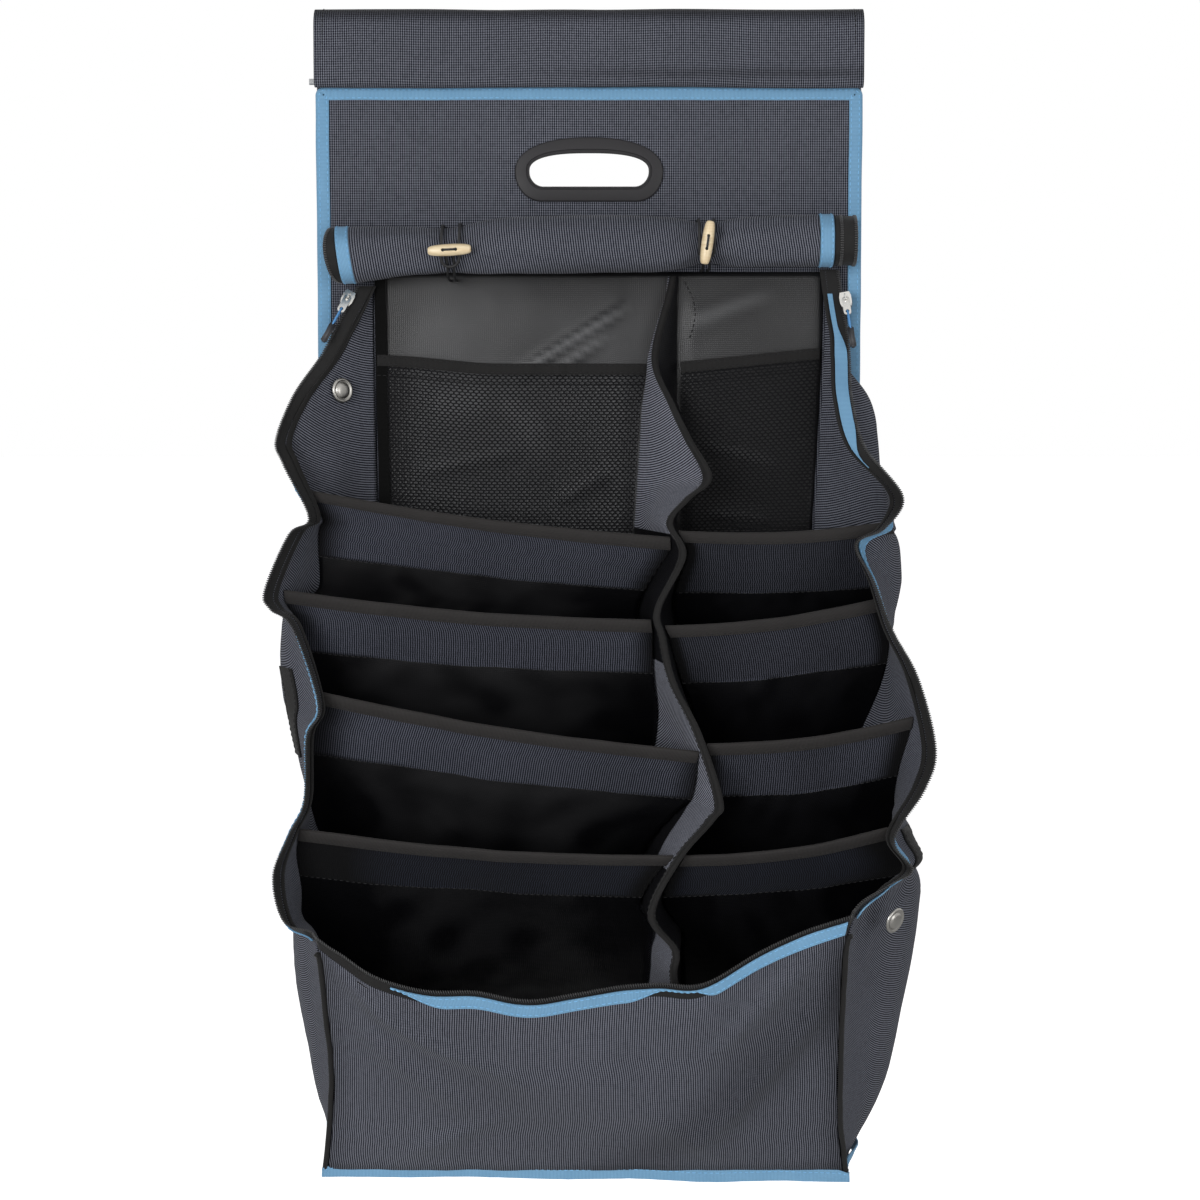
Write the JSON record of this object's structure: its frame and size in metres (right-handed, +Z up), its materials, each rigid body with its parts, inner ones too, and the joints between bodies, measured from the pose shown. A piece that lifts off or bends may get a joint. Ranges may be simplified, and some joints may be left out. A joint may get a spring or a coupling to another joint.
{
  "type": "hanging tent organizer",
  "caption": "Soft kitchen organizer that hangs on a tent pole: open zipped bag with tiered pockets, rolled-up front cover, side gussets and a carrying handle.",
  "frame": {"origin": "centre line of the tent pole inside the sleeve, midway along the sleeve", "axes": "+X to the right seen from the front, +Y to the back, where the tent wall is, and +Z up"},
  "size_m": [0.513, 0.2195, 0.9212],
  "materials": {
    "canvas": "woven textile, charcoal with light threads",
    "lining": "coated black lining, slightly shiny",
    "blue_band": "blue ribbed band",
    "black_band": "black woven band",
    "net": "black fine net",
    "plastic": "black moulded plastic",
    "wood": "pale turned wood",
    "metal": "polished plated metal",
    "rod": "grey rod",
    "elastic": "black round cord",
    "blue_cord": "blue braided cord"
  },
  "bodies": {
    "bag": {"back_lining": "lining", "back_panel": "canvas", "bottom_binding": "blue_band", "bottom_panel": "canvas", "centre_divider": "lining", "cover_roll": "canvas", "divider_left_1": "lining", "divider_left_2": "lining", "divider_left_3": "lining", "divider_left_4": "lining", "divider_right_1": "lining", "divider_right_2": "lining", "divider_right_3": "lining", "divider_right_4": "lining", "elastic_left": "elastic", "elastic_right": "elastic", "front_panel": "canvas", "gusset_left": "canvas", "gusset_right": "canvas", "handle_back": "plastic", "handle_front": "plastic", "net_hem_left": "black_band", "net_hem_right": "black_band", "net_left": "net", "net_right": "net", "panel_binding": "blue_band", "piping_left": "black_band", "piping_right": "black_band", "roll_trim_left": "blue_band", "roll_trim_right": "blue_band", "roll_zip_left": "black_band", "roll_zip_right": "black_band", "sleeve": "canvas", "sleeve_loop_strip": "black_band", "sleeve_rod": "rod", "stud_left_lower": "metal", "stud_left_upper": "metal", "stud_right": "metal", "toggle_cord_left": "elastic", "toggle_cord_right": "elastic", "trim_front": "blue_band", "trim_left": "blue_band", "trim_right": "blue_band", "trim_right_upper": "blue_band", "webbing_left": "black_band", "webbing_right": "black_band", "zip_front": "black_band", "zip_left": "black_band", "zip_right": "black_band"},
    "flap": {"sleeve_flap": "canvas", "flap_hook_strip": "black_band"},
    "toggle_left_body": {"toggle_left": "wood"},
    "toggle_right_body": {"toggle_right": "wood"},
    "slider_left_body": {"slider_left": "metal"},
    "slider_right_body": {"slider_right": "metal"},
    "pull_left_body": {"pull_tab_left": "metal", "pull_cord_left": "blue_cord"},
    "pull_right_body": {"pull_tab_right": "metal", "pull_cord_right": "blue_cord"}
  },
  "joints": [
    {"name": "flap_hinge", "type": "hinge", "parent": "bag", "child": "flap", "pos_m": [0, 0.0162, -0.00815], "axis": [1, 0, 0], "range_deg": [0, 115]},
    {"name": "toggle_left_turn", "type": "hinge", "parent": "bag", "child": "toggle_left_body", "pos_m": [-0.109, -0.0561, -0.178], "axis": [0, -1, 0], "range_deg": [-90, 90]},
    {"name": "toggle_right_turn", "type": "hinge", "parent": "bag", "child": "toggle_right_body", "pos_m": [0.093, -0.0528, -0.172], "axis": [0, -1, 0], "range_deg": [-90, 90]},
    {"name": "slider_left_slide", "type": "slide", "parent": "bag", "child": "slider_left_body", "axis": [-0.4378, -0.2415, -0.866], "range_m": [0, 0.02]},
    {"name": "slider_right_slide", "type": "slide", "parent": "bag", "child": "slider_right_body", "axis": [0.1365, -0.2901, -0.9472], "range_m": [0, 0.02]},
    {"name": "pull_left_swing", "type": "hinge", "parent": "slider_left_body", "child": "pull_left_body", "pos_m": [-0.1924, -0.0188, -0.2121], "axis": [-0.895, 0.0261, 0.4452], "range_deg": [0, 60]},
    {"name": "pull_right_swing", "type": "hinge", "parent": "slider_right_body", "child": "pull_right_body", "pos_m": [0.2049, -0.0192, -0.2131], "axis": [-0.9764, 0.1222, -0.1781], "range_deg": [0, 60]}
  ]
}
